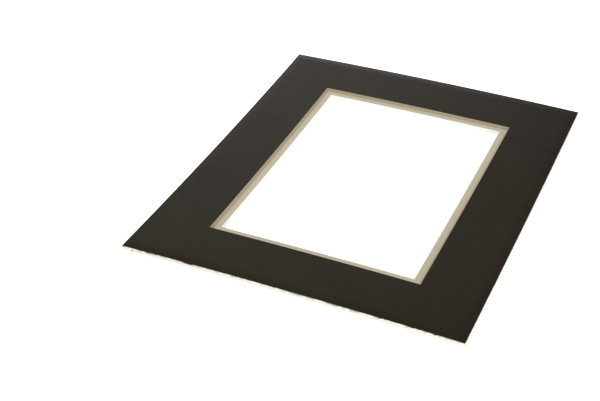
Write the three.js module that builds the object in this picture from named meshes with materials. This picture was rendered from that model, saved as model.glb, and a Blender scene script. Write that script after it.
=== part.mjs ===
// Double picture mount, 10 x 8 in, with a window for a 7 x 5 in picture.
//
// Two mount boards lie face up, one on the other, bonded by four strips of double-sided tape.
// Each board has a window whose cut edge is bevelled and opens towards the face. The upper
// board's window is the larger, so a narrow step of the lower board shows all round inside it.
// The mount has taken the slight saddle-shaped bow of a board that has drawn damp on one side.
//
// Millimetres. +X is across the width, +Y along the length and +Z out of the face. The origin is
// under the middle of the window, at the height of the back's lowest point.

import * as THREE from 'three';
import { mergeVertices } from 'three/addons/utils/BufferGeometryUtils.js';

// Outer size
const WIDTH = 203.2;
const LENGTH = 254;

// Sheets
const LOWER_THICKNESS = 1.4;
const TAPE_THICKNESS = 0.2;
const UPPER_THICKNESS = 1.4;

// Windows
const BORDER = 37;          // outer edge to the upper window, at the face
const REVEAL = 3.7;         // step of the lower face that shows inside the upper bevel
const BEVEL_ANGLE = 45;     // degrees between the cut edge and the back of its board

// Tape strips
const TAPE_WIDTH = 12;
const TAPE_INSET = 6;       // outer edge of the mount to the strip
const TAPE_END_GAP = 2;     // end of a side strip to the strip that runs across it

// Bow of the whole mount out of a flat plane
const CROSS_BOW = 1.2;      // fall from the middle to the left and right edges
const LENGTH_BOW = 2;       // rise from the middle to the front and back edges
const TWIST = 0.6;          // rise of two opposite corners and fall of the other two

// Longest side of a facet, short enough for the bow to read as a curve
const FACET = 21;

const COLOURS = { upperFace: 0x39342d, lowerFace: 0xbfb6a1, tape: 0xe9e3d2 };

// Levels through the sheets, before the bow
const tapeLevel = LOWER_THICKNESS;
const upperLevel = tapeLevel + TAPE_THICKNESS;
const faceLevel = upperLevel + UPPER_THICKNESS;

// Each window's half sizes at its face and at the foot of its bevel
const windowInset = (border) => ({ x: WIDTH / 2 - border, y: LENGTH / 2 - border });
const bevelRun = (thickness) => thickness / Math.tan(THREE.MathUtils.degToRad(BEVEL_ANGLE));
const upperFoot = BORDER + bevelRun(UPPER_THICKNESS);
const lowerBorder = upperFoot + REVEAL;
const lowerFoot = lowerBorder + bevelRun(LOWER_THICKNESS);
const upperWindow = { face: windowInset(BORDER), foot: windowInset(upperFoot) };
const lowerWindow = { face: windowInset(lowerBorder), foot: windowInset(lowerFoot) };

// Edges of the tape strips, as half sizes
const tapeOuter = windowInset(TAPE_INSET);
const tapeInner = windowInset(TAPE_INSET + TAPE_WIDTH);
const sideStripEnd = tapeInner.y - TAPE_END_GAP;

// Grid lines along one direction: every edge of the mount is one, and so are enough lines
// between them. All the sheets share them, so faces that touch have the same facets.
function gridLines(...halfSizes) {
  const stops = [...new Set(halfSizes.flatMap((half) => [-half, half]))].sort((a, b) => a - b);
  const lines = [stops[0]];
  for (let i = 1; i < stops.length; i += 1) {
    const steps = Math.ceil((stops[i] - stops[i - 1]) / FACET);
    for (let k = 1; k <= steps; k += 1) {
      lines.push(THREE.MathUtils.lerp(stops[i - 1], stops[i], k / steps));
    }
  }
  return lines;
}

const windows = [upperWindow.face, upperWindow.foot, lowerWindow.face, lowerWindow.foot];
const xLines = gridLines(WIDTH / 2, tapeOuter.x, tapeInner.x, ...windows.map((w) => w.x));
const yLines = gridLines(
  LENGTH / 2, tapeOuter.y, tapeInner.y, sideStripEnd, ...windows.map((w) => w.y),
);

// Height of the bow at a place in plan, from the middle of the mount
function bow(x, y) {
  const across = x / (WIDTH / 2);
  const along = y / (LENGTH / 2);
  return LENGTH_BOW * along ** 2 - CROSS_BOW * across ** 2 + TWIST * across * along;
}

// The mount rests on the lowest point of its back
const rise = -Math.min(...xLines.flatMap((x) => yLines.map((y) => bow(x, y))));

const bowed = ([x, y], level) => [x, y, level + rise + bow(x, y)];

// Points along the four sides of a rectangle in plan, anticlockwise, one list for each side
function sides({ left, right, front, back }) {
  const across = xLines.filter((x) => x >= left && x <= right);
  const along = yLines.filter((y) => y >= front && y <= back);
  return [
    across.map((x) => [x, front]),
    along.map((y) => [right, y]),
    across.map((x) => [x, back]).reverse(),
    along.map((y) => [left, y]).reverse(),
  ];
}

const centred = ({ x, y }) => ({ left: -x, right: x, front: -y, back: y });

// Triangles of one face of a sheet: the grid's cells inside the outline and outside the hole
function faceCells(outline, hole, level) {
  const inside = (rect, x0, x1, y0, y1) => (
    x0 >= rect.left && x1 <= rect.right && y0 >= rect.front && y1 <= rect.back
  );
  const triangles = [];
  for (let i = 1; i < xLines.length; i += 1) {
    for (let j = 1; j < yLines.length; j += 1) {
      const cell = [xLines[i - 1], xLines[i], yLines[j - 1], yLines[j]];
      if (!inside(outline, ...cell) || (hole && inside(hole, ...cell))) continue;
      const [x0, x1, y0, y1] = cell;
      const [a, b, c, d] = [[x0, y0], [x1, y0], [x1, y1], [x0, y1]].map((p) => bowed(p, level));
      triangles.push([a, b, c], [a, c, d]);
    }
  }
  return triangles;
}

// Triangles of a wall between two rectangles at two levels, facing away from their middle.
// Either may have more points than the other, as the face edge of a bevel has at its corners.
function wall(lowerRect, lowerAt, upperRect, upperAt) {
  const upperSides = sides(upperRect);
  return sides(lowerRect).flatMap((lowerSide, k) => {
    const upperSide = upperSides[k];
    const [first, last] = [upperSide[0], upperSide[upperSide.length - 1]];
    const direction = [Math.sign(last[0] - first[0]), Math.sign(last[1] - first[1])];
    const reach = (p) => (p ? p[0] * direction[0] + p[1] * direction[1] : Infinity);
    const triangles = [];
    let i = 0;
    let j = 0;
    while (i < lowerSide.length - 1 || j < upperSide.length - 1) {
      const low = bowed(lowerSide[i], lowerAt);
      const high = bowed(upperSide[j], upperAt);
      if (reach(lowerSide[i + 1]) <= reach(upperSide[j + 1])) {
        i += 1;
        triangles.push([low, bowed(lowerSide[i], lowerAt), high]);
      } else {
        j += 1;
        triangles.push([low, bowed(upperSide[j], upperAt), high]);
      }
    }
    return triangles;
  });
}

const turned = (triangles) => triangles.map(([a, b, c]) => [a, c, b]);

// Closed sheet between two levels, with an optional window cut through it
function sheet(outline, window, lowerAt, upperAt) {
  const face = window && centred(window.face);
  const foot = window && centred(window.foot);
  const triangles = [
    ...faceCells(outline, face, upperAt),
    ...turned(faceCells(outline, foot, lowerAt)),
    ...wall(outline, lowerAt, outline, upperAt),
    ...(window ? turned(wall(foot, lowerAt, face, upperAt)) : []),
  ];
  const geometry = new THREE.BufferGeometry();
  geometry.setAttribute('position', new THREE.Float32BufferAttribute(triangles.flat(2), 3));
  const merged = mergeVertices(geometry);
  merged.computeVertexNormals();
  return merged;
}

function part(name, geometry, colour, roughness) {
  const material = new THREE.MeshStandardMaterial({
    color: colour, roughness, metalness: 0, flatShading: true,
  });
  const mesh = new THREE.Mesh(geometry, material);
  mesh.name = name;
  return mesh;
}

// A board: the full size of the mount, with its bevelled window
function board(name, window, lowerAt, upperAt, colour) {
  const outline = centred(windowInset(0));
  return part(name, sheet(outline, window, lowerAt, upperAt), colour, 0.9);
}

// A strip of tape between the boards
function tapeStrip(name, outline) {
  return part(name, sheet(outline, null, tapeLevel, upperLevel), COLOURS.tape, 0.5);
}

const sideStrip = { front: -sideStripEnd, back: sideStripEnd };
const endStrip = { left: -tapeOuter.x, right: tapeOuter.x };

const mount = new THREE.Group();
mount.name = 'double_picture_mount';
mount.add(
  board('lower_board', lowerWindow, 0, tapeLevel, COLOURS.lowerFace),
  tapeStrip('tape_left', { ...sideStrip, left: -tapeOuter.x, right: -tapeInner.x }),
  tapeStrip('tape_right', { ...sideStrip, left: tapeInner.x, right: tapeOuter.x }),
  tapeStrip('tape_front', { ...endStrip, front: -tapeOuter.y, back: -tapeInner.y }),
  tapeStrip('tape_back', { ...endStrip, front: tapeInner.y, back: tapeOuter.y }),
  board('upper_board', upperWindow, upperLevel, faceLevel, COLOURS.upperFace),
);

export default mount;
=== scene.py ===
"""Looks of the double picture mount: two bowed boards with bevel-cut windows, and their tape.

Lengths are metres: X is across the mount, Y along it and Z up out of its face. The boards are
modelled flat, at their levels through the mount, and then bowed.
"""

import logging
import math
import random
from dataclasses import dataclass, field
from enum import Enum
from typing import Callable, Iterable, Sequence

import bpy
from mathutils import Matrix, Vector


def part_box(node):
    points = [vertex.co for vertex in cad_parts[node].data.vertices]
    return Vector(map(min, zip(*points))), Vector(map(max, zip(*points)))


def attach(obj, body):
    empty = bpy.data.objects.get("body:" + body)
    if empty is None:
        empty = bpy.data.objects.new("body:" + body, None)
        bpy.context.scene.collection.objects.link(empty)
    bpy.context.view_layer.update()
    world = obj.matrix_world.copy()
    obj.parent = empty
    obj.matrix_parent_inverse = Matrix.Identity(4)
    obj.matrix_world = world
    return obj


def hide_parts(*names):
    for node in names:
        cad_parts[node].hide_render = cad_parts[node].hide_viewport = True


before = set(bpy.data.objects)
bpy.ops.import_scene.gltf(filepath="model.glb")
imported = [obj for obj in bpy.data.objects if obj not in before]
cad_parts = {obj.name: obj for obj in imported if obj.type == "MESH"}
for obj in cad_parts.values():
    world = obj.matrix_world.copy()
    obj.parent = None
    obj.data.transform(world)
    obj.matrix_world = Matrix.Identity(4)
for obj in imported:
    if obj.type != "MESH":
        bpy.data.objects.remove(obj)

LOG = logging.getLogger("double_picture_mount")
MM = 0.001
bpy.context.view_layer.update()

Colour = tuple[float, float, float]
Node = bpy.types.ShaderNode
NodeSocket = bpy.types.NodeSocket

WHITE: Colour = (1.0, 1.0, 1.0)
SMOOTH_ANGLE = math.radians(20)  # sharper edges than this stay crisp
FLAT_NORMAL = 0.9  # least upright part of the normal of a face that counts as level
CATCH = 1 * MM  # how near to an edge of a board a vertex is taken to belong to it


class Edge(Enum):
    """The four outer edges, by the direction each faces in plan."""

    FRONT = (0, -1)
    RIGHT = (1, 0)
    BACK = (0, 1)
    LEFT = (-1, 0)


class Ply(Enum):
    """The surfaces of a board, in the order of its material slots."""

    FACE = 0
    CUT = 1
    BEVEL = 2
    BACKING = 3


# Sizes shared by the pieces


@dataclass(frozen=True)
class MountSizes:
    """The driving sizes of the mount, as its maker would state them.

    Args:
        border: outer edge to the upper window, at the face.
        reveal: step of the lower face that shows inside the upper bevel.
        board: thickness of each board.
        tape: thickness of the tape between the boards.
        cross_bow: fall of the bow from the middle to the left and right edges.
        length_bow: rise of the bow from the middle to the front and back edges.
        twist: rise of two opposite corners and fall of the other two.
        rise: height of the bow's middle over its lowest point, on which the mount rests.
        half_width: half the outer width, from the frame.
        half_length: half the outer length, from the frame.
    """

    border: float = 37 * MM
    reveal: float = 3.7 * MM
    board: float = 1.4 * MM
    tape: float = 0.2 * MM
    cross_bow: float = 1.2 * MM
    length_bow: float = 2 * MM
    twist: float = 0.6 * MM
    rise: float = 1.244 * MM
    half_width: float = field(default_factory=lambda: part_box("upper_board")[1][0])
    half_length: float = field(default_factory=lambda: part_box("upper_board")[1][1])

    @property
    def face_level(self) -> float:
        """Level of the upper face through the flat mount."""
        return 2 * self.board + self.tape

    def bow(self, x: float, y: float) -> float:
        """Height that the bow adds at a place in plan.

        Args:
            x: place across the mount.
            y: place along the mount.

        Returns:
            The height over the flat mount's level.
        """
        across = x / self.half_width
        along = y / self.half_length
        saddle = self.length_bow * along ** 2 - self.cross_bow * across ** 2
        return self.rise + saddle + self.twist * across * along


# Shader maths


class Value:
    """A number socket of a material, with arithmetic that adds Math nodes."""

    def __init__(self, nodes: "Nodes", socket: NodeSocket) -> None:
        """Wraps a socket.

        Args:
            nodes: the node builder that the socket belongs to.
            socket: the output that holds the number.
        """
        self.nodes = nodes
        self.socket = socket

    def _math(self, operation: str, first: "Number", second: "Number") -> "Value":
        """Adds one Math node.

        Args:
            operation: the node's operation.
            first: its first input.
            second: its second input.

        Returns:
            The result.
        """
        node = self.nodes.node(
            "ShaderNodeMath", {"operation": operation}, {0: first, 1: second}
        )
        return Value(self.nodes, node.outputs[0])

    def __add__(self, other: "Number") -> "Value":
        """This plus other."""
        return self._math("ADD", self, other)

    __radd__ = __add__

    def __sub__(self, other: "Number") -> "Value":
        """This minus other."""
        return self._math("SUBTRACT", self, other)

    def __rsub__(self, other: "Number") -> "Value":
        """Other minus this."""
        return self._math("SUBTRACT", other, self)

    def __mul__(self, other: "Number") -> "Value":
        """This times other."""
        return self._math("MULTIPLY", self, other)

    __rmul__ = __mul__

    def either(self, other: "Number") -> "Value":
        """The larger of this and other, which for masks is one or the other."""
        return self._math("MAXIMUM", self, other)

    def above(self, edge: float, soft: float) -> "Value":
        """How far this is above an edge, from 0 to 1 over a soft span.

        Args:
            edge: where the result is one half.
            soft: the width of the span.

        Returns:
            The clamped ramp.
        """
        node = self.nodes.node(
            "ShaderNodeMapRange",
            {"clamp": True, "interpolation_type": "SMOOTHSTEP"},
            {"Value": self, "From Min": edge - soft / 2, "From Max": edge + soft / 2},
        )
        return Value(self.nodes, node.outputs["Result"])


Number = Value | float | int


class Nodes:
    """Builds the nodes of one material, or of the world."""

    def __init__(self, tree: bpy.types.NodeTree) -> None:
        """Takes the tree to build in.

        Args:
            tree: the material's or the world's node tree.
        """
        self.tree = tree

    def node(self, kind: str, settings: dict, inputs: dict) -> Node:
        """Adds a node.

        Args:
            kind: the node's type.
            settings: its properties, set before its sockets.
            inputs: values or links, by the socket's name or number.

        Returns:
            The node.
        """
        node = self.tree.nodes.new(kind)
        for name, setting in settings.items():
            setattr(node, name, setting)
        for key, value in inputs.items():
            self.feed(node.inputs[key], value)
        return node

    def feed(self, socket: NodeSocket, value: object) -> None:
        """Links or sets one input socket.

        Args:
            socket: the input.
            value: a Value, an output socket, a number or a tuple of numbers.
        """
        if isinstance(value, Value):
            self.tree.links.new(value.socket, socket)
        elif isinstance(value, NodeSocket):
            self.tree.links.new(value, socket)
        elif isinstance(value, tuple) and socket.type == "RGBA":
            socket.default_value = (*value, 1.0)
        else:
            socket.default_value = value

    def place(self, stretch: Sequence[float] = (1, 1, 1)) -> NodeSocket:
        """Object coordinates, stretched along the axes.

        Args:
            stretch: factor along each axis.

        Returns:
            The mapped coordinates.
        """
        coordinates = self.node("ShaderNodeTexCoord", {}, {})
        mapping = self.node(
            "ShaderNodeMapping",
            {},
            {"Vector": coordinates.outputs["Object"], "Scale": tuple(stretch)},
        )
        return mapping.outputs["Vector"]

    def attribute(self, name: str) -> Value:
        """A number stored on the piece's vertices.

        Args:
            name: the attribute's name.

        Returns:
            Its value.
        """
        node = self.node("ShaderNodeAttribute", {"attribute_name": name}, {})
        return Value(self, node.outputs["Fac"])

    def noise(
        self, size: float, detail: float = 3.0, stretch: Sequence[float] = (1, 1, 1)
    ) -> Value:
        """Soft noise from about 0 to 1, around one half.

        Args:
            size: how far apart its blotches are, in metres.
            detail: octaves of finer noise on top.
            stretch: factor along each axis, below 1 for blotches drawn out along it.

        Returns:
            The noise.
        """
        node = self.node(
            "ShaderNodeTexNoise",
            {},
            {"Vector": self.place(stretch), "Scale": 1 / size, "Detail": detail},
        )
        return Value(self, node.outputs["Fac"])

    def blend(self, share: Number, first: object, second: object) -> NodeSocket:
        """Mixes two colours.

        Args:
            share: how much of the second, from 0 to 1.
            first: colour or socket.
            second: colour or socket.

        Returns:
            The mixed colour.
        """
        factor, first_colour, second_colour, mixed_colour = 0, 6, 7, 2
        node = self.node(
            "ShaderNodeMix",
            {"data_type": "RGBA", "clamp_factor": True},
            {factor: share, first_colour: first, second_colour: second},
        )
        return node.outputs[mixed_colour]

    def relief(self, height: Value, depth: float) -> NodeSocket:
        """A bump for the Normal input.

        Args:
            height: the relief, from 0 to 1.
            depth: its full depth in metres.

        Returns:
            The normal.
        """
        node = self.node("ShaderNodeBump", {}, {"Height": height, "Distance": depth})
        return node.outputs["Normal"]

    def looked_at(self) -> Value:
        """Tells rays that show a thing from rays that light others by it.

        Returns:
            1 where the camera sees it, straight or in metal or glass, and 0 elsewhere.
        """
        path = self.node("ShaderNodeLightPath", {}, {})
        camera, glossy, transmitted = (
            Value(self, path.outputs[f"Is {kind} Ray"])
            for kind in ("Camera", "Glossy", "Transmission")
        )
        return camera.either(glossy).either(transmitted)


class Shader(Nodes):
    """Builds one material."""

    def __init__(self, name: str) -> None:
        """Makes a material that has only its surface shader and its output.

        Args:
            name: the material's name.
        """
        self.material = bpy.data.materials.new(name)
        self.material.use_nodes = True
        super().__init__(self.material.node_tree)
        self.tree.nodes.clear()
        self.surface = self.node("ShaderNodeBsdfPrincipled", {}, {})
        self.output = self.node(
            "ShaderNodeOutputMaterial", {}, {"Surface": self.surface.outputs["BSDF"]}
        )


def scaled(colour: Colour, factor: float) -> Colour:
    """A colour made lighter or darker.

    Args:
        colour: linear red, green and blue.
        factor: what each is multiplied by.

    Returns:
        The new colour.
    """
    return tuple(min(channel * factor, 1.0) for channel in colour)


# Finishes


@dataclass(frozen=True)
class FacePaper:
    """Coloured facing paper, matt, with a fine tooth and a cloudy dye.

    Args:
        name: the material's name.
        colour: linear colour of the paper.
        roughness: mean roughness.
        sheen: specular level, low on an open paper.
        cloud: how much the dye varies over a few centimetres.
        fleck: how much single fibres vary.
        mottle: how much the dye varies over a millimetre or two.
        glint: tint of the sheen.
        cloud_size: width of a cloud of dye.
        grain_size: width of the paper's grain, which is drawn out along the mount.
        fibre_size: width of a tuft of fibres.
        blot_shade: colour of a blot, as a factor of the paper's.
        fleck_shade: colour of a fleck, as a factor of the paper's.
        spread: how much the tooth changes the roughness.
        tooth: depth of the tooth.
    """

    name: str
    colour: Colour
    roughness: float
    sheen: float
    cloud: float
    fleck: float
    mottle: float = 0.04
    glint: Colour = WHITE
    cloud_size: float = 34 * MM
    grain_size: float = 1.4 * MM
    fibre_size: float = 0.55 * MM
    blot_shade: float = 0.5
    fleck_shade: float = 1.9
    spread: float = 0.16
    tooth: float = 0.035 * MM

    def make(self) -> bpy.types.Material:
        """Builds the material.

        Returns:
            The material.
        """
        shader = Shader(self.name)
        clouds = shader.noise(self.cloud_size, detail=2)
        fibres = shader.noise(self.fibre_size, detail=4)
        grain = shader.noise(self.grain_size, detail=3, stretch=(1, 0.3, 1))
        dyed = shader.blend(
            clouds.above(edge=0.5, soft=0.5),
            scaled(self.colour, 1 - self.cloud),
            scaled(self.colour, 1 + self.cloud),
        )
        blots = grain.above(edge=0.5, soft=0.3) * self.mottle
        mottled = shader.blend(blots, dyed, scaled(self.colour, self.blot_shade))
        flecks = fibres.above(edge=0.56, soft=0.3) * self.fleck
        flecked = shader.blend(flecks, mottled, scaled(self.colour, self.fleck_shade))
        tooth = fibres * 0.7 + grain * 0.3
        surface = shader.surface.inputs
        shader.feed(surface["Base Color"], flecked)
        shader.feed(surface["Roughness"], self.roughness + (tooth - 0.5) * self.spread)
        shader.feed(surface["Specular IOR Level"], self.sheen)
        shader.feed(surface["Specular Tint"], self.glint)
        shader.feed(surface["Normal"], shader.relief(tooth, self.tooth))
        return shader.material


@dataclass(frozen=True)
class CutCore:
    """Soft pulp of a board where a blade has gone through it.

    Args:
        name: the material's name.
        colour: linear colour of the pulp.
        burr: linear colour of the face paper's fibres dragged over the cut.
        dragged: how deep those fibres reach at most, as a share of the board's thickness.
        layers: how much the pulp's plies show as lines along the cut.
        patch_size: width of a patch of dragged fibres.
        streak_size: height of a streak in it, which is drawn out along the cut.
        pulp_size: width of a tuft of pulp.
        ply_count: how many plies of pulp the board has.
        ply_shade: colour of a dark ply, as a factor of the pulp's.
        pulp_shade: colour of a dark tuft, as a factor of the pulp's.
        pulp_share: how much the dark tufts show.
        burr_share: how thickly the dragged fibres cover the pulp.
        roughness: mean roughness.
        spread: how much the pulp changes the roughness.
        sheen: specular level.
        pile: depth of the pulp's relief.
    """

    name: str
    colour: Colour
    burr: Colour
    dragged: float
    layers: float
    patch_size: float = 3.2 * MM
    streak_size: float = 0.45 * MM
    pulp_size: float = 0.4 * MM
    ply_count: float = 7.0
    ply_shade: float = 0.72
    pulp_shade: float = 0.84
    pulp_share: float = 0.35
    burr_share: float = 0.8
    roughness: float = 0.86
    spread: float = 0.12
    sheen: float = 0.15
    pile: float = 0.05 * MM

    def make(self) -> bpy.types.Material:
        """Builds the material. Depth is 0 at the board's face and 1 at its back.

        Returns:
            The material.
        """
        shader = Shader(self.name)
        depth = shader.attribute("depth")
        patches = shader.noise(self.patch_size, detail=3, stretch=(1, 1, 0.2))
        streaks = shader.noise(self.streak_size, detail=4, stretch=(0.3, 0.3, 1))
        pulp = shader.noise(self.pulp_size, detail=4)
        ply_noise = shader.node(
            "ShaderNodeTexNoise",
            {"noise_dimensions": "1D"},
            {"W": depth * self.ply_count, "Scale": 1.0, "Detail": 2.0},
        )
        plies = Value(shader, ply_noise.outputs["Fac"]).above(edge=0.52, soft=0.12)
        plied = shader.blend(
            plies * self.layers, self.colour, scaled(self.colour, self.ply_shade)
        )
        tufts = pulp.above(edge=0.55, soft=0.4) * self.pulp_share
        mottled = shader.blend(tufts, plied, scaled(self.colour, self.pulp_shade))
        reach = (patches * 0.6 + streaks * 0.4).above(edge=0.49, soft=0.24) * self.dragged
        burrs = (reach - depth).above(edge=0.05, soft=0.35) * self.burr_share
        surface = shader.surface.inputs
        shader.feed(surface["Base Color"], shader.blend(burrs, mottled, self.burr))
        shader.feed(surface["Roughness"], self.roughness + (pulp - 0.5) * self.spread)
        shader.feed(surface["Specular IOR Level"], self.sheen)
        shader.feed(surface["Normal"], shader.relief(pulp, self.pile))
        return shader.material


@dataclass(frozen=True)
class TapeFilm:
    """Double-sided tape: a pale film with adhesive on it, a little glossy and streaked.

    Args:
        name: the material's name.
        colour: linear colour of the film.
        streak_size: width of a streak of adhesive.
        streak_shade: colour of a streak, as a factor of the film's.
        bubble_size: width of a bubble under the film.
        bubble_depth: depth of a bubble.
        roughness: least roughness.
        spread: how much the bubbles add to the roughness.
        sheen: specular level.
    """

    name: str
    colour: Colour
    streak_size: float = 2.5 * MM
    streak_shade: float = 0.82
    bubble_size: float = 0.8 * MM
    bubble_depth: float = 0.02 * MM
    roughness: float = 0.38
    spread: float = 0.2
    sheen: float = 0.4

    def make(self) -> bpy.types.Material:
        """Builds the material.

        Returns:
            The material.
        """
        shader = Shader(self.name)
        streaks = shader.noise(self.streak_size, detail=3, stretch=(1, 0.2, 1))
        bubbles = shader.noise(self.bubble_size, detail=2)
        streaked = shader.blend(
            streaks.above(edge=0.5, soft=0.4),
            self.colour,
            scaled(self.colour, self.streak_shade),
        )
        surface = shader.surface.inputs
        shader.feed(surface["Base Color"], streaked)
        shader.feed(surface["Roughness"], self.roughness + bubbles * self.spread)
        shader.feed(surface["Specular IOR Level"], self.sheen)
        shader.feed(surface["Normal"], shader.relief(bubbles, self.bubble_depth))
        return shader.material


@dataclass(frozen=True)
class StageWhite:
    """Plain white sweep that the mount lies on. It is seen as white and keeps the shadow.

    Args:
        name: the material's name.
        colour: linear colour that lights and shades it.
        lift: what is seen on top of that, so that the open floor reads white.
        grain_size: width of the sheet's grain.
        grain_shade: colour of the grain, as a factor of the sheet's.
        roughness: roughness of the sheet.
    """

    name: str
    colour: Colour
    lift: float
    grain_size: float = 6 * MM
    grain_shade: float = 0.99
    roughness: float = 0.9

    def make(self) -> bpy.types.Material:
        """Builds the material.

        Returns:
            The material.
        """
        shader = Shader(self.name)
        grain = shader.noise(self.grain_size, detail=3)
        surface = shader.surface.inputs
        shader.feed(
            surface["Base Color"],
            shader.blend(grain, self.colour, scaled(self.colour, self.grain_shade)),
        )
        shader.feed(surface["Roughness"], self.roughness)
        shader.feed(surface["Specular IOR Level"], 0.0)
        glow = shader.node(
            "ShaderNodeEmission", {}, {"Color": WHITE, "Strength": shader.looked_at() * self.lift}
        )
        both = shader.node("ShaderNodeAddShader", {}, {})
        shader.feed(both.inputs[0], shader.surface.outputs["BSDF"])
        shader.feed(both.inputs[1], glow.outputs["Emission"])
        shader.feed(shader.output.inputs["Surface"], both.outputs["Shader"])
        return shader.material


# Modelling helpers


def deselect_all() -> None:
    """Goes to object mode with nothing selected, the solids included."""
    if bpy.context.object and bpy.context.object.mode != "OBJECT":
        bpy.ops.object.mode_set(mode="OBJECT")
    bpy.ops.object.select_all(action="DESELECT")


def select_only(piece: bpy.types.Object) -> None:
    """Makes a piece the only selected object, and the active one.

    Args:
        piece: the object.
    """
    deselect_all()
    piece.select_set(True)
    bpy.context.view_layer.objects.active = piece


def pick_edges(piece: bpy.types.Object, test: Callable[[Vector, Vector], bool]) -> None:
    """Selects the edges of a piece whose two ends pass a test, and leaves it in edit mode.

    Args:
        piece: the object.
        test: takes the places of an edge's ends.
    """
    bpy.ops.object.mode_set(mode="EDIT")
    bpy.ops.mesh.select_mode(type="EDGE")
    bpy.ops.mesh.select_all(action="DESELECT")
    bpy.ops.object.mode_set(mode="OBJECT")
    vertices = piece.data.vertices
    for edge in piece.data.edges:
        first, second = (vertices[index].co for index in edge.vertices)
        edge.select = test(first, second)
    bpy.ops.object.mode_set(mode="EDIT")


def store_attribute(piece: bpy.types.Object, name: str, values: Iterable[float]) -> None:
    """Stores a number on each vertex.

    Args:
        piece: the object.
        name: the attribute's name.
        values: one number a vertex.
    """
    attribute = piece.data.attributes.new(name=name, type="FLOAT", domain="POINT")
    attribute.data.foreach_set("value", list(values))


def lines_between(half: float, pitch: float) -> list[float]:
    """Evenly spaced lines inside a span, its ends left out.

    Args:
        half: half the span.
        pitch: the widest step.

    Returns:
        The places of the lines.
    """
    steps = math.ceil(2 * half / pitch)
    return [-half + 2 * half * step / steps for step in range(1, steps)]


# Boards


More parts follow.
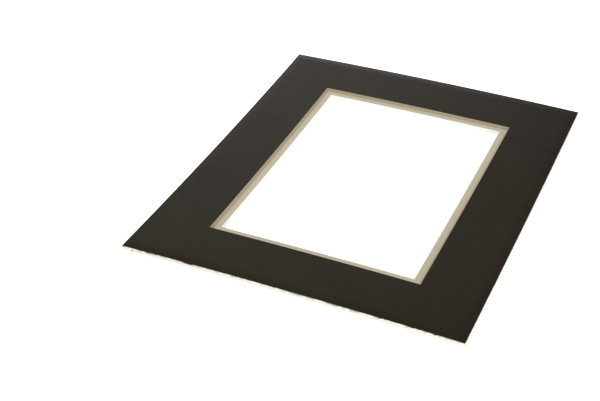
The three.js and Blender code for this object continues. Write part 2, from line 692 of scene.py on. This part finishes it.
@dataclass
class MountBoard:
    """One board of the mount, cut from laminated board, with a bevelled window.

    Args:
        name: the piece's name.
        node: the solid it stands for, whose material slot has the same name.
        sizes: the mount's sizes.
        level: level of the board's back through the flat mount.
        border: outer edge to its window, at the face.
        finishes: material of each ply, in the order of Ply.
        face_ply: thickness of the facing paper.
        back_ply: thickness of the backing paper.
        margin: what the outline stays inside the solid's, for fibres that stand proud.
        roll: radius where the blade has rolled the face paper over at the outer edge.
        lip: how far the blade has dragged the backing down past the back, along each cut.
        lip_width: how far in from the cut the dragged lip reaches.
        pitch: widest facet, fine enough for the bow to stay smooth in a low light.
    """

    name: str
    node: str
    sizes: MountSizes
    level: float
    border: float
    finishes: Sequence[bpy.types.Material]
    face_ply: float = 0.09 * MM
    back_ply: float = 0.09 * MM
    margin: float = 0.05 * MM
    roll: float = 0.05 * MM
    lip: float = 0.0
    lip_width: float = 0.3 * MM
    pitch: float = 7 * MM
    piece: bpy.types.Object = field(init=False)

    @property
    def face_level(self) -> float:
        """Level of the board's face."""
        return self.level + self.sizes.board

    @property
    def outline(self) -> tuple[float, float]:
        """Half the outer width and half the outer length."""
        return self.sizes.half_width - self.margin, self.sizes.half_length - self.margin

    def window(self, depth: float) -> tuple[float, float]:
        """Half sizes of the window at a depth under the face, down its 45 degree bevel.

        Args:
            depth: the depth.

        Returns:
            Half the width and half the length there.
        """
        inset = self.border + depth
        return self.sizes.half_width - inset, self.sizes.half_length - inset

    def build(self) -> bpy.types.Object:
        """Models the board.

        Returns:
            The finished piece.
        """
        self._face_ring()
        self._cut_walls()
        self._close_back()
        self._roll_edges()
        self._grid()
        self._store_depth()
        self._assign_plies()
        self._bow()
        select_only(self.piece)
        bpy.ops.object.shade_smooth_by_angle(angle=SMOOTH_ANGLE)
        LOG.info("%s: %d faces", self.name, len(self.piece.data.polygons))
        return self.piece

    def _face_ring(self) -> None:
        """Adds the face as a plane and insets its window, which is left open."""
        deselect_all()
        half_width, half_length = self.outline
        bpy.ops.mesh.primitive_plane_add(size=2, location=(0, 0, self.face_level))
        self.piece = bpy.context.object
        self.piece.name = self.piece.data.name = self.name
        self.piece.scale = (half_width, half_length, 1)
        bpy.ops.object.transform_apply(location=True, rotation=False, scale=True)
        bpy.ops.object.mode_set(mode="EDIT")
        bpy.ops.mesh.select_all(action="SELECT")
        bpy.ops.mesh.inset(thickness=self.border - self.margin, depth=0)
        bpy.ops.mesh.delete(type="ONLY_FACE")

    def _cut_walls(self) -> None:
        """Extrudes the window's edge down its bevel and the outer edge straight down."""
        depths = (
            self.face_ply,
            self.sizes.board - self.back_ply,
            self.sizes.board + self.lip,
        )
        inner = self.window(-CATCH)
        pick_edges(
            self.piece,
            lambda *ends: all(abs(end.x) < inner[0] and abs(end.y) < inner[1] for end in ends),
        )
        self._run_wall([(depth, self.window(depth)) for depth in depths], self.window(0), 1)
        outline = self.outline
        outer = (outline[0] - CATCH, outline[1] - CATCH)
        pick_edges(
            self.piece,
            lambda *ends: all(abs(end.x) > outer[0] or abs(end.y) > outer[1] for end in ends),
        )
        self._run_wall([(depth, outline) for depth in depths], outline, -1)

    def _run_wall(
        self,
        stops: Sequence[tuple[float, tuple[float, float]]],
        start: tuple[float, float],
        inward: int,
    ) -> None:
        """Extrudes the selected loop down through some stops, and back up behind the lip.

        Args:
            stops: the depth and the loop's half sizes at each stop.
            start: the loop's half sizes at the face.
            inward: 1 where the board lies outside the loop and -1 where it lies inside.
        """
        stops = list(stops)
        if self.lip > 0:
            behind = tuple(half + inward * self.lip_width for half in stops[-1][1])
            stops.append((self.sizes.board, behind))
        done, halves = 0.0, start
        for depth, wanted in stops:
            bpy.ops.mesh.extrude_edges_move(
                TRANSFORM_OT_translate={"value": (0, 0, done - depth)}
            )
            bpy.ops.transform.resize(
                value=(wanted[0] / halves[0], wanted[1] / halves[1], 1),
                center_override=(0, 0, 0),
            )
            done, halves = depth, wanted

    def _close_back(self) -> None:
        """Bridges the two loops at the level of the back."""
        tolerance = self.back_ply / 3
        pick_edges(
            self.piece,
            lambda *ends: all(abs(end.z - self.level) < tolerance for end in ends),
        )
        bpy.ops.mesh.bridge_edge_loops()
        bpy.ops.mesh.select_all(action="SELECT")
        bpy.ops.mesh.normals_make_consistent(inside=False)

    def _roll_edges(self) -> None:
        """Rounds the outer edge of the face, where the blade pressed the paper over."""
        half_width, half_length = self.outline
        tolerance = self.face_ply / 2
        pick_edges(
            self.piece,
            lambda a, b: min(a.z, b.z) > self.face_level - tolerance and (
                min(abs(a.x), abs(b.x)) > half_width - tolerance
                or min(abs(a.y), abs(b.y)) > half_length - tolerance
            ) and (a - b).length > self.border,
        )
        bpy.ops.mesh.bevel(offset=self.roll, segments=3, affect="EDGES")

    def _grid(self) -> None:
        """Cuts the board across and along, so that it can follow the bow."""
        half_width, half_length = self.outline
        bpy.ops.mesh.select_mode(type="VERT")
        cuts = [((x, 0, 0), (1, 0, 0)) for x in lines_between(half_width, self.pitch)]
        cuts += [((0, y, 0), (0, 1, 0)) for y in lines_between(half_length, self.pitch)]
        for place, normal in cuts:
            bpy.ops.mesh.select_all(action="SELECT")
            bpy.ops.mesh.bisect(plane_co=place, plane_no=normal)
        bpy.ops.object.mode_set(mode="OBJECT")

    def _store_depth(self) -> None:
        """Stores how far each vertex is through the board, from 0 at the face to 1 at the back."""
        board = self.sizes.board
        store_attribute(
            self.piece,
            "depth",
            ((self.face_level - vertex.co.z) / board for vertex in self.piece.data.vertices),
        )

    def _assign_plies(self) -> None:
        """Gives each face of the mesh the finish of the ply it belongs to.

        A window's bevel shows one cut surface all the way down. The outer cut shows the backing
        at its foot.
        """
        half_width, half_length = self.outline
        backing_from = self.sizes.board - self.back_ply
        for material in self.finishes:
            self.piece.data.materials.append(material)
        for polygon in self.piece.data.polygons:
            depth = self.face_level - polygon.center.z
            outer = (
                abs(polygon.center.x) > half_width - self.margin
                or abs(polygon.center.y) > half_length - self.margin
            )
            if depth < self.face_ply:
                ply = Ply.FACE
            elif abs(polygon.normal.z) > FLAT_NORMAL or (outer and depth > backing_from):
                ply = Ply.BACKING
            else:
                ply = Ply.CUT if outer else Ply.BEVEL
            polygon.material_index = ply.value

    def _bow(self) -> None:
        """Lifts every vertex by the bow."""
        for vertex in self.piece.data.vertices:
            vertex.co.z += self.sizes.bow(vertex.co.x, vertex.co.y)

    def dress(self) -> None:
        """Sets the piece on its body, in place of its solid."""
        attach(self.piece, "root")
        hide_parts(self.node)


# Fibres at the outer cut


@dataclass(frozen=True)
class Shred:
    """A shred that the blade has dragged along the cut.

    Args:
        edge: the outer edge it hangs on.
        place: where its middle is along the edge, from the mount's middle.
        length: its length along the edge.
        drop: how far it reaches down.
        below: how far under the face paper it starts.
    """

    edge: Edge
    place: float
    length: float
    drop: float
    below: float = 0.0


@dataclass
class CutShreds:
    """Shreds of one kind along the outer cut edges.

    Args:
        name: the piece's name.
        sizes: the mount's sizes.
        finish: the material of the shreds.
        seen: the shreds that can be told apart.
        more: how many finer ones each edge has besides.
        lengths: shortest and longest of the finer ones.
        drops: how far the finer ones reach down, at least and at most.
        spread: how much of an edge the finer ones may fall on.
        start: how far under the face a shred starts.
        thickness: thickness of a shred.
        margin: what the board's outline leaves for them inside the mount's outline.
        cuts: how many lines the pattern of a shred is cut into each way.
        seed: fixes where the finer ones fall.
    """

    name: str
    sizes: MountSizes
    finish: bpy.types.Material
    seen: Sequence[Shred]
    more: dict[Edge, int] = field(default_factory=dict)
    lengths: tuple[float, float] = (0.6 * MM, 2.4 * MM)
    drops: tuple[float, float] = (0.12 * MM, 0.34 * MM)
    spread: float = 0.96
    start: float = 0.08 * MM
    thickness: float = 0.05 * MM
    margin: float = 0.05 * MM
    cuts: int = 11
    seed: int = 11
    piece: bpy.types.Object = field(init=False)

    def shreds(self) -> list[Shred]:
        """All the shreds.

        Returns:
            The shreds, the ones told apart first.
        """
        rng = random.Random(self.seed)
        shreds = list(self.seen)
        for edge, count in self.more.items():
            half = self.sizes.half_width if edge.value[0] == 0 else self.sizes.half_length
            for _ in range(count):
                place = rng.uniform(-self.spread, self.spread) * half
                length = rng.uniform(*self.lengths)
                drop = rng.uniform(*self.drops)
                shreds.append(Shred(edge, place, length, drop))
        return shreds

    def _pattern(self) -> bpy.types.Object:
        """Models one shred, 1 long and 1 deep, hanging from the origin in the XZ plane.

        Its hem is rounded, with one row of wide notches and one of narrow ones.

        Returns:
            The shred.
        """
        deselect_all()
        bpy.ops.mesh.primitive_plane_add(
            size=1, location=(0, 0, -0.5), rotation=(math.pi / 2, 0, 0)
        )
        pattern = bpy.context.object
        bpy.ops.object.transform_apply(location=True, rotation=True, scale=False)
        bpy.ops.object.mode_set(mode="EDIT")
        bpy.ops.mesh.select_all(action="SELECT")
        bpy.ops.mesh.subdivide(number_cuts=self.cuts)
        bpy.ops.mesh.extrude_region_move(TRANSFORM_OT_translate={"value": (0, 1, 0)})
        bpy.ops.mesh.select_all(action="SELECT")
        bpy.ops.mesh.normals_make_consistent(inside=False)
        bpy.ops.object.mode_set(mode="OBJECT")
        least = 0.02
        for vertex in pattern.data.vertices:
            along = vertex.co.x + 0.5
            notched = 0.68 + 0.16 * math.sin(11 * along) + 0.14 * math.sin(31 * along)
            rounded = max(math.sin(math.pi * along), 0.0) ** 0.7
            vertex.co.z *= rounded * notched + least
        return pattern

    def build(self) -> bpy.types.Object:
        """Models the shreds and joins them into one piece.

        Returns:
            The finished piece.
        """
        pattern = self._pattern()
        copies = []
        for shred in self.shreds():
            copy = pattern.copy()
            copy.data = pattern.data.copy()
            bpy.context.collection.objects.link(copy)
            copy.data.transform(self._placed(shred))
            self._follow_bow(copy)
            copies.append(copy)
        bpy.data.objects.remove(pattern)
        deselect_all()
        for copy in copies:
            copy.select_set(True)
        bpy.context.view_layer.objects.active = copies[0]
        bpy.ops.object.join()
        self.piece = bpy.context.object
        self.piece.name = self.piece.data.name = self.name
        self.piece.data.materials.append(self.finish)
        LOG.info("%s: %d shreds", self.name, len(copies))
        return self.piece

    def _placed(self, shred: Shred) -> Matrix:
        """Where the pattern goes for one shred, before the bow.

        Args:
            shred: the shred.

        Returns:
            The matrix that takes the pattern there.
        """
        out = Vector((*shred.edge.value, 0))
        along = Vector((-out.y, out.x, 0))
        half = self.sizes.half_width if out.x else self.sizes.half_length
        middle = out * (half - self.margin) + along * shred.place
        middle.z = self.sizes.face_level - self.start - shred.below
        size = Matrix.Diagonal((shred.length, self.thickness, shred.drop, 1))
        turn = Matrix((
            (along.x, out.x, 0, 0),
            (along.y, out.y, 0, 0),
            (0, 0, 1, 0),
            (0, 0, 0, 1),
        ))
        return Matrix.Translation(middle) @ turn @ size

    def _follow_bow(self, copy: bpy.types.Object) -> None:
        """Lifts a shred by the bow, and turns its faces out if placing it turned them in.

        Args:
            copy: the shred's object.
        """
        for vertex in copy.data.vertices:
            vertex.co.z += self.sizes.bow(vertex.co.x, vertex.co.y)
        select_only(copy)
        bpy.ops.object.mode_set(mode="EDIT")
        bpy.ops.mesh.select_all(action="SELECT")
        bpy.ops.mesh.normals_make_consistent(inside=False)
        bpy.ops.object.mode_set(mode="OBJECT")

    def dress(self) -> None:
        """Sets the piece on its body."""
        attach(self.piece, "root")


# Tape


@dataclass
class TapeStrips:
    """The four strips between the boards, whose solids already have their shape.

    Args:
        nodes: the solids' names.
        finish: the film's finish.
    """

    nodes: Sequence[str]
    finish: bpy.types.Material

    def dress(self) -> None:
        """Gives the strips their film."""
        for node in self.nodes:
            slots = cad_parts[node].material_slots
            for slot in slots:
                slot.material = self.finish
            LOG.info("%s: %d slot with its film", node, len(slots))


# Stage, light and camera


@dataclass(frozen=True)
class Softbox:
    """A large soft lamp that faces the mount.

    Args:
        name: the lamp's name.
        azimuth: degrees round from the front, towards the right.
        elevation: degrees above the floor.
        distance: from the mount.
        width: across its face.
        height: up its face.
        power: in watts.
    """

    name: str
    azimuth: float
    elevation: float
    distance: float
    width: float
    height: float
    power: float

    def place(self) -> None:
        """Adds the lamp."""
        turn = math.radians(self.azimuth)
        lift = math.radians(self.elevation)
        away = Vector((
            math.cos(lift) * math.sin(turn), -math.cos(lift) * math.cos(turn), math.sin(lift)
        ))
        data = bpy.data.lights.new(self.name, "AREA")
        data.shape = "RECTANGLE"
        data.size = self.width
        data.size_y = self.height
        data.energy = self.power
        lamp = bpy.data.objects.new(self.name, data)
        lamp.location = away * self.distance
        lamp.rotation_euler = away.to_track_quat("Z", "Y").to_euler()
        bpy.context.scene.collection.objects.link(lamp)


@dataclass(frozen=True)
class Studio:
    """The sweep, the light and the backdrop.

    Args:
        floor: finish of the sweep.
        reach: half the side of the sweep.
        fill: light from all round.
        lamps: the soft lamps.
    """

    floor: StageWhite
    reach: float
    fill: float
    lamps: Sequence[Softbox]

    def build(self) -> None:
        """Adds them all."""
        self._sweep()
        self._backdrop()
        for lamp in self.lamps:
            lamp.place()
        bpy.context.scene.view_settings.view_transform = "Standard"

    def _sweep(self) -> None:
        """Adds the floor."""
        deselect_all()
        bpy.ops.mesh.primitive_plane_add(size=2 * self.reach, location=(0, 0, 0))
        sweep = bpy.context.object
        sweep.name = "sweep"
        sweep.data.materials.append(self.floor.make())

    def _backdrop(self) -> None:
        """Makes the world a soft fill that is seen as white."""
        world = bpy.data.worlds.new("studio")
        bpy.context.scene.world = world
        world.use_nodes = True
        nodes = Nodes(world.node_tree)
        background = world.node_tree.nodes["Background"].inputs
        nodes.feed(background["Color"], WHITE)
        nodes.feed(background["Strength"], self.fill + nodes.looked_at() * (1 - self.fill))


@dataclass(frozen=True)
class Viewpoint:
    """The camera, as the photograph was taken.

    Args:
        place: where it stands.
        target: the point on the face's middle level that it looks at.
        roll: degrees by which it is turned about its line of sight.
        lens: focal length in millimetres.
        sensor: width of the sensor in millimetres.
        near: nearest distance that it shows.
    """

    place: tuple[float, float, float]
    target: tuple[float, float, float]
    roll: float
    lens: float
    sensor: float = 36.0
    near: float = 0.01

    def build(self) -> None:
        """Adds the camera and makes it the scene's."""
        data = bpy.data.cameras.new("camera")
        data.lens = self.lens
        data.sensor_width = self.sensor
        data.clip_start = self.near
        sight = (Vector(self.target) - Vector(self.place)).normalized()
        level = sight.cross(Vector((0, 0, 1))).normalized()
        upright = level.cross(sight)
        turn = math.radians(self.roll)
        right = level * math.cos(turn) + upright * math.sin(turn)
        up = right.cross(sight)
        camera = bpy.data.objects.new("camera", data)
        axes = Matrix((right, up, -sight)).transposed().to_4x4()
        camera.matrix_world = Matrix.Translation(Vector(self.place)) @ axes
        bpy.context.scene.collection.objects.link(camera)
        bpy.context.scene.camera = camera


# The mount's own finishes and sizes

DARK_FACE = FacePaper(
    name="dark_face_paper", colour=(0.0152, 0.0107, 0.0078), roughness=0.45,
    sheen=0.0285, cloud=0.12, fleck=0.3, mottle=0.3, glint=(1.0, 1.0, 0.3),
)
TAUPE_FACE = FacePaper(
    name="taupe_face_paper", colour=(0.5, 0.442, 0.327), roughness=0.8,
    sheen=0.15, cloud=0.03, fleck=0.04,
)
BACKING = FacePaper(
    name="backing_paper", colour=(0.9, 0.875, 0.79), roughness=0.85,
    sheen=0.15, cloud=0.04, fleck=0.05,
)
CREAM_CUT = CutCore(
    name="cream_cut", colour=(0.95, 0.93, 0.78), burr=(0.42, 0.39, 0.28),
    dragged=0.85, layers=0.3,
)
# Painted shade: the upper board's bevel is cut from the same cream core as its outer cut, but this
# colour is darker and browner, standing in for the shade that the bevel lies in.
SHADED_BEVEL = CutCore(
    name="shaded_bevel", colour=(0.372, 0.326, 0.224), burr=(0.12, 0.1, 0.07),
    dragged=0.05, layers=0.15,
)
WHITE_CUT = CutCore(
    name="white_cut", colour=(0.96, 0.96, 0.93), burr=(0.6, 0.55, 0.45),
    dragged=0.12, layers=0.12,
)
WHITE_BEVEL = CutCore(
    name="white_bevel", colour=(0.97, 0.96, 0.92), burr=(0.6, 0.55, 0.45),
    dragged=0.04, layers=0.06,
)
DARK_SHRED = FacePaper(
    name="dark_shred", colour=(0.06, 0.054, 0.043), roughness=0.85,
    sheen=0.1, cloud=0.1, fleck=0.2,
)
GREY_SHRED = FacePaper(
    name="grey_shred", colour=(0.4, 0.39, 0.31), roughness=0.85,
    sheen=0.1, cloud=0.1, fleck=0.1,
)
FILM = TapeFilm(name="tape_film", colour=(0.81, 0.76, 0.64))

# Shreds on the near edge, where the photograph shows them: place, length, drop and start
NEAR_EDGE_DARK = (
    Shred(Edge.FRONT, -94.8 * MM, 2.0 * MM, 0.75 * MM, 1.4 * MM),
    Shred(Edge.FRONT, -84.8 * MM, 3.6 * MM, 0.8 * MM, 0.2 * MM),
    Shred(Edge.FRONT, -59.4 * MM, 6.6 * MM, 1.15 * MM),
    Shred(Edge.FRONT, 54.5 * MM, 2.4 * MM, 0.6 * MM),
    Shred(Edge.FRONT, 72.4 * MM, 2.8 * MM, 0.55 * MM),
    Shred(Edge.FRONT, 85.3 * MM, 2.4 * MM, 0.75 * MM),
)
NEAR_EDGE_GREY = (
    Shred(Edge.FRONT, 5.9 * MM, 10.0 * MM, 1.35 * MM),
    Shred(Edge.FRONT, 27.2 * MM, 9.5 * MM, 1.35 * MM),
    Shred(Edge.FRONT, 40.4 * MM, 7.5 * MM, 0.95 * MM),
)

VIEWPOINT = Viewpoint(
    place=(0.21541, -0.6168, 0.4361),
    target=(-0.02783, -0.04248, 0.0042),
    roll=0.703,
    lens=75.88,
)
STUDIO = Studio(
    floor=StageWhite(name="white_sweep", colour=(0.93, 0.93, 0.93), lift=0.72),
    reach=6.0,
    fill=0.62,
    lamps=(
        Softbox(
            name="back_left_box", azimuth=226, elevation=60, distance=1.6,
            width=1.2, height=0.9, power=11.0,
        ),
        Softbox(
            name="back_box", azimuth=204, elevation=14, distance=1.8,
            width=0.9, height=0.4, power=7.0,
        ),
        Softbox(
            name="front_box", azimuth=44, elevation=10, distance=1.6,
            width=1.4, height=0.5, power=12.5,
        ),
    ),
)


def build_boards(sizes: MountSizes) -> None:
    """Models and dresses both boards.

    Args:
        sizes: the mount's sizes.
    """
    dark, taupe, backing = DARK_FACE.make(), TAUPE_FACE.make(), BACKING.make()
    lower = MountBoard(
        name="taupe_board",
        node="lower_board",
        sizes=sizes,
        level=0.0,
        border=sizes.border + sizes.board + sizes.reveal,
        finishes=(taupe, WHITE_CUT.make(), WHITE_BEVEL.make(), backing),
    )
    upper = MountBoard(
        name="dark_board",
        node="upper_board",
        sizes=sizes,
        level=sizes.board + sizes.tape,
        border=sizes.border,
        lip=0.17 * MM,
        # The bevel's finish has painted shade in its colour.
        finishes=(dark, CREAM_CUT.make(), SHADED_BEVEL.make(), backing),
    )
    for board in (lower, upper):
        board.build()
        board.dress()


def build_shreds(sizes: MountSizes) -> None:
    """Models and dresses the shreds of both kinds.

    Args:
        sizes: the mount's sizes.
    """
    for shreds in (
        CutShreds(
            name="dark_shreds",
            sizes=sizes,
            finish=DARK_SHRED.make(),
            seen=NEAR_EDGE_DARK,
            more={Edge.FRONT: 10, Edge.RIGHT: 8, Edge.BACK: 8, Edge.LEFT: 8},
        ),
        CutShreds(
            name="grey_shreds", sizes=sizes, finish=GREY_SHRED.make(), seen=NEAR_EDGE_GREY,
        ),
    ):
        shreds.build()
        shreds.dress()


def main() -> None:
    """Builds the studio and the mount."""
    logging.basicConfig(level=logging.INFO, format="%(name)s: %(message)s")
    VIEWPOINT.build()
    STUDIO.build()
    sizes = MountSizes()
    build_boards(sizes)
    build_shreds(sizes)
    TapeStrips(
        nodes=("tape_left", "tape_right", "tape_front", "tape_back"), finish=FILM.make()
    ).dress()


if __name__ == "__main__":
    main()
